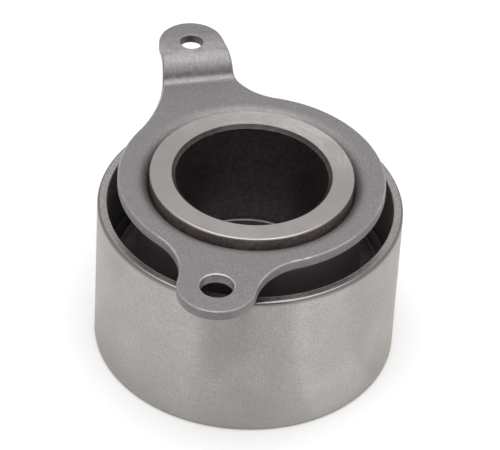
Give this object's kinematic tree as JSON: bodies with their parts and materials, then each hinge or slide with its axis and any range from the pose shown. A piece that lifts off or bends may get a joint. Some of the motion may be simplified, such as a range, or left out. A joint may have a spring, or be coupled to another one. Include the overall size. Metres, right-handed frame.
{
  "type": "tensioner pulley",
  "caption": "Plain timing-belt tensioner pulley on a sealed double-row ball bearing, with a stamped mounting plate that has a bolt ear and a raised spring ear.",
  "frame": {"origin": "middle of the belt face on the pulley's axis", "axes": "+Z along the pulley's axis towards the mounting plate, -Y towards the bolt ear, +X completes the right-handed frame"},
  "size_m": [0.06, 0.0823, 0.0434],
  "materials": {
    "ground_steel": "ground bearing steel, satin, with faint lines along the belt's run",
    "machined_steel": "turned steel, satin",
    "plate_steel": "stamped and tumbled steel, matt grey",
    "seal_rubber": "moulded nitrile rubber, matt black",
    "insert_steel": "thin pressed steel",
    "cage_plastic": "moulded nylon",
    "ball_steel": "polished bearing steel"
  },
  "bodies": {
    "hub": {"inner_ring": "machined_steel", "mounting_plate": "plate_steel"},
    "pulley": {"outer_ring": "ground_steel", "upper_seal": "seal_rubber", "upper_seal_insert": "insert_steel", "lower_seal": "seal_rubber", "lower_seal_insert": "insert_steel"},
    "upper_cage": {"upper_cage": "cage_plastic"},
    "upper_ball_01": {"upper_ball_01": "ball_steel"},
    "upper_ball_02": {"upper_ball_02": "ball_steel"},
    "upper_ball_03": {"upper_ball_03": "ball_steel"},
    "upper_ball_04": {"upper_ball_04": "ball_steel"},
    "upper_ball_05": {"upper_ball_05": "ball_steel"},
    "upper_ball_06": {"upper_ball_06": "ball_steel"},
    "upper_ball_07": {"upper_ball_07": "ball_steel"},
    "upper_ball_08": {"upper_ball_08": "ball_steel"},
    "upper_ball_09": {"upper_ball_09": "ball_steel"},
    "upper_ball_10": {"upper_ball_10": "ball_steel"},
    "upper_ball_11": {"upper_ball_11": "ball_steel"},
    "upper_ball_12": {"upper_ball_12": "ball_steel"},
    "upper_ball_13": {"upper_ball_13": "ball_steel"},
    "upper_ball_14": {"upper_ball_14": "ball_steel"},
    "lower_cage": {"lower_cage": "cage_plastic"},
    "lower_ball_01": {"lower_ball_01": "ball_steel"},
    "lower_ball_02": {"lower_ball_02": "ball_steel"},
    "lower_ball_03": {"lower_ball_03": "ball_steel"},
    "lower_ball_04": {"lower_ball_04": "ball_steel"},
    "lower_ball_05": {"lower_ball_05": "ball_steel"},
    "lower_ball_06": {"lower_ball_06": "ball_steel"},
    "lower_ball_07": {"lower_ball_07": "ball_steel"},
    "lower_ball_08": {"lower_ball_08": "ball_steel"},
    "lower_ball_09": {"lower_ball_09": "ball_steel"},
    "lower_ball_10": {"lower_ball_10": "ball_steel"},
    "lower_ball_11": {"lower_ball_11": "ball_steel"},
    "lower_ball_12": {"lower_ball_12": "ball_steel"},
    "lower_ball_13": {"lower_ball_13": "ball_steel"},
    "lower_ball_14": {"lower_ball_14": "ball_steel"}
  },
  "joints": [
    {"name": "pulley_spin", "type": "hinge", "parent": "hub", "child": "pulley", "pos_m": [0, 0, 0], "axis": [0, 0, 1], "continuous": true},
    {"name": "upper_cage_turn", "type": "hinge", "parent": "hub", "child": "upper_cage", "pos_m": [0, 0, -0.00485], "axis": [0, 0, 1], "continuous": true},
    {"name": "upper_ball_01_roll", "type": "hinge", "parent": "upper_cage", "child": "upper_ball_01", "pos_m": [0.0242, 0, -0.00485], "axis": [0, 0, 1], "continuous": true},
    {"name": "upper_ball_02_roll", "type": "hinge", "parent": "upper_cage", "child": "upper_ball_02", "pos_m": [0.0218, 0.0105, -0.00485], "axis": [0, 0, 1], "continuous": true},
    {"name": "upper_ball_03_roll", "type": "hinge", "parent": "upper_cage", "child": "upper_ball_03", "pos_m": [0.01509, 0.01892, -0.00485], "axis": [0, 0, 1], "continuous": true},
    {"name": "upper_ball_04_roll", "type": "hinge", "parent": "upper_cage", "child": "upper_ball_04", "pos_m": [0.00539, 0.02359, -0.00485], "axis": [0, 0, 1], "continuous": true},
    {"name": "upper_ball_05_roll", "type": "hinge", "parent": "upper_cage", "child": "upper_ball_05", "pos_m": [-0.00539, 0.02359, -0.00485], "axis": [0, 0, 1], "continuous": true},
    {"name": "upper_ball_06_roll", "type": "hinge", "parent": "upper_cage", "child": "upper_ball_06", "pos_m": [-0.01509, 0.01892, -0.00485], "axis": [0, 0, 1], "continuous": true},
    {"name": "upper_ball_07_roll", "type": "hinge", "parent": "upper_cage", "child": "upper_ball_07", "pos_m": [-0.0218, 0.0105, -0.00485], "axis": [0, 0, 1], "continuous": true},
    {"name": "upper_ball_08_roll", "type": "hinge", "parent": "upper_cage", "child": "upper_ball_08", "pos_m": [-0.0242, 0, -0.00485], "axis": [0, 0, 1], "continuous": true},
    {"name": "upper_ball_09_roll", "type": "hinge", "parent": "upper_cage", "child": "upper_ball_09", "pos_m": [-0.0218, -0.0105, -0.00485], "axis": [0, 0, 1], "continuous": true},
    {"name": "upper_ball_10_roll", "type": "hinge", "parent": "upper_cage", "child": "upper_ball_10", "pos_m": [-0.01509, -0.01892, -0.00485], "axis": [0, 0, 1], "continuous": true},
    {"name": "upper_ball_11_roll", "type": "hinge", "parent": "upper_cage", "child": "upper_ball_11", "pos_m": [-0.00539, -0.02359, -0.00485], "axis": [0, 0, 1], "continuous": true},
    {"name": "upper_ball_12_roll", "type": "hinge", "parent": "upper_cage", "child": "upper_ball_12", "pos_m": [0.00539, -0.02359, -0.00485], "axis": [0, 0, 1], "continuous": true},
    {"name": "upper_ball_13_roll", "type": "hinge", "parent": "upper_cage", "child": "upper_ball_13", "pos_m": [0.01509, -0.01892, -0.00485], "axis": [0, 0, 1], "continuous": true},
    {"name": "upper_ball_14_roll", "type": "hinge", "parent": "upper_cage", "child": "upper_ball_14", "pos_m": [0.0218, -0.0105, -0.00485], "axis": [0, 0, 1], "continuous": true},
    {"name": "lower_cage_turn", "type": "hinge", "parent": "hub", "child": "lower_cage", "pos_m": [0, 0, -0.01075], "axis": [0, 0, 1], "continuous": true},
    {"name": "lower_ball_01_roll", "type": "hinge", "parent": "lower_cage", "child": "lower_ball_01", "pos_m": [0.0242, 0, -0.01075], "axis": [0, 0, 1], "continuous": true},
    {"name": "lower_ball_02_roll", "type": "hinge", "parent": "lower_cage", "child": "lower_ball_02", "pos_m": [0.0218, 0.0105, -0.01075], "axis": [0, 0, 1], "continuous": true},
    {"name": "lower_ball_03_roll", "type": "hinge", "parent": "lower_cage", "child": "lower_ball_03", "pos_m": [0.01509, 0.01892, -0.01075], "axis": [0, 0, 1], "continuous": true},
    {"name": "lower_ball_04_roll", "type": "hinge", "parent": "lower_cage", "child": "lower_ball_04", "pos_m": [0.00539, 0.02359, -0.01075], "axis": [0, 0, 1], "continuous": true},
    {"name": "lower_ball_05_roll", "type": "hinge", "parent": "lower_cage", "child": "lower_ball_05", "pos_m": [-0.00539, 0.02359, -0.01075], "axis": [0, 0, 1], "continuous": true},
    {"name": "lower_ball_06_roll", "type": "hinge", "parent": "lower_cage", "child": "lower_ball_06", "pos_m": [-0.01509, 0.01892, -0.01075], "axis": [0, 0, 1], "continuous": true},
    {"name": "lower_ball_07_roll", "type": "hinge", "parent": "lower_cage", "child": "lower_ball_07", "pos_m": [-0.0218, 0.0105, -0.01075], "axis": [0, 0, 1], "continuous": true},
    {"name": "lower_ball_08_roll", "type": "hinge", "parent": "lower_cage", "child": "lower_ball_08", "pos_m": [-0.0242, 0, -0.01075], "axis": [0, 0, 1], "continuous": true},
    {"name": "lower_ball_09_roll", "type": "hinge", "parent": "lower_cage", "child": "lower_ball_09", "pos_m": [-0.0218, -0.0105, -0.01075], "axis": [0, 0, 1], "continuous": true},
    {"name": "lower_ball_10_roll", "type": "hinge", "parent": "lower_cage", "child": "lower_ball_10", "pos_m": [-0.01509, -0.01892, -0.01075], "axis": [0, 0, 1], "continuous": true},
    {"name": "lower_ball_11_roll", "type": "hinge", "parent": "lower_cage", "child": "lower_ball_11", "pos_m": [-0.00539, -0.02359, -0.01075], "axis": [0, 0, 1], "continuous": true},
    {"name": "lower_ball_12_roll", "type": "hinge", "parent": "lower_cage", "child": "lower_ball_12", "pos_m": [0.00539, -0.02359, -0.01075], "axis": [0, 0, 1], "continuous": true},
    {"name": "lower_ball_13_roll", "type": "hinge", "parent": "lower_cage", "child": "lower_ball_13", "pos_m": [0.01509, -0.01892, -0.01075], "axis": [0, 0, 1], "continuous": true},
    {"name": "lower_ball_14_roll", "type": "hinge", "parent": "lower_cage", "child": "lower_ball_14", "pos_m": [0.0218, -0.0105, -0.01075], "axis": [0, 0, 1], "continuous": true}
  ],
  "couplings": [
    {"joint": "upper_cage_turn", "follows": "pulley_spin", "ratio": 0.55682},
    {"joint": "upper_ball_01_roll", "follows": "pulley_spin", "ratio": 4.3432},
    {"joint": "upper_ball_02_roll", "follows": "pulley_spin", "ratio": 4.3432},
    {"joint": "upper_ball_03_roll", "follows": "pulley_spin", "ratio": 4.3432},
    {"joint": "upper_ball_04_roll", "follows": "pulley_spin", "ratio": 4.3432},
    {"joint": "upper_ball_05_roll", "follows": "pulley_spin", "ratio": 4.3432},
    {"joint": "upper_ball_06_roll", "follows": "pulley_spin", "ratio": 4.3432},
    {"joint": "upper_ball_07_roll", "follows": "pulley_spin", "ratio": 4.3432},
    {"joint": "upper_ball_08_roll", "follows": "pulley_spin", "ratio": 4.3432},
    {"joint": "upper_ball_09_roll", "follows": "pulley_spin", "ratio": 4.3432},
    {"joint": "upper_ball_10_roll", "follows": "pulley_spin", "ratio": 4.3432},
    {"joint": "upper_ball_11_roll", "follows": "pulley_spin", "ratio": 4.3432},
    {"joint": "upper_ball_12_roll", "follows": "pulley_spin", "ratio": 4.3432},
    {"joint": "upper_ball_13_roll", "follows": "pulley_spin", "ratio": 4.3432},
    {"joint": "upper_ball_14_roll", "follows": "pulley_spin", "ratio": 4.3432},
    {"joint": "lower_cage_turn", "follows": "pulley_spin", "ratio": 0.55682},
    {"joint": "lower_ball_01_roll", "follows": "pulley_spin", "ratio": 4.3432},
    {"joint": "lower_ball_02_roll", "follows": "pulley_spin", "ratio": 4.3432},
    {"joint": "lower_ball_03_roll", "follows": "pulley_spin", "ratio": 4.3432},
    {"joint": "lower_ball_04_roll", "follows": "pulley_spin", "ratio": 4.3432},
    {"joint": "lower_ball_05_roll", "follows": "pulley_spin", "ratio": 4.3432},
    {"joint": "lower_ball_06_roll", "follows": "pulley_spin", "ratio": 4.3432},
    {"joint": "lower_ball_07_roll", "follows": "pulley_spin", "ratio": 4.3432},
    {"joint": "lower_ball_08_roll", "follows": "pulley_spin", "ratio": 4.3432},
    {"joint": "lower_ball_09_roll", "follows": "pulley_spin", "ratio": 4.3432},
    {"joint": "lower_ball_10_roll", "follows": "pulley_spin", "ratio": 4.3432},
    {"joint": "lower_ball_11_roll", "follows": "pulley_spin", "ratio": 4.3432},
    {"joint": "lower_ball_12_roll", "follows": "pulley_spin", "ratio": 4.3432},
    {"joint": "lower_ball_13_roll", "follows": "pulley_spin", "ratio": 4.3432},
    {"joint": "lower_ball_14_roll", "follows": "pulley_spin", "ratio": 4.3432}
  ]
}
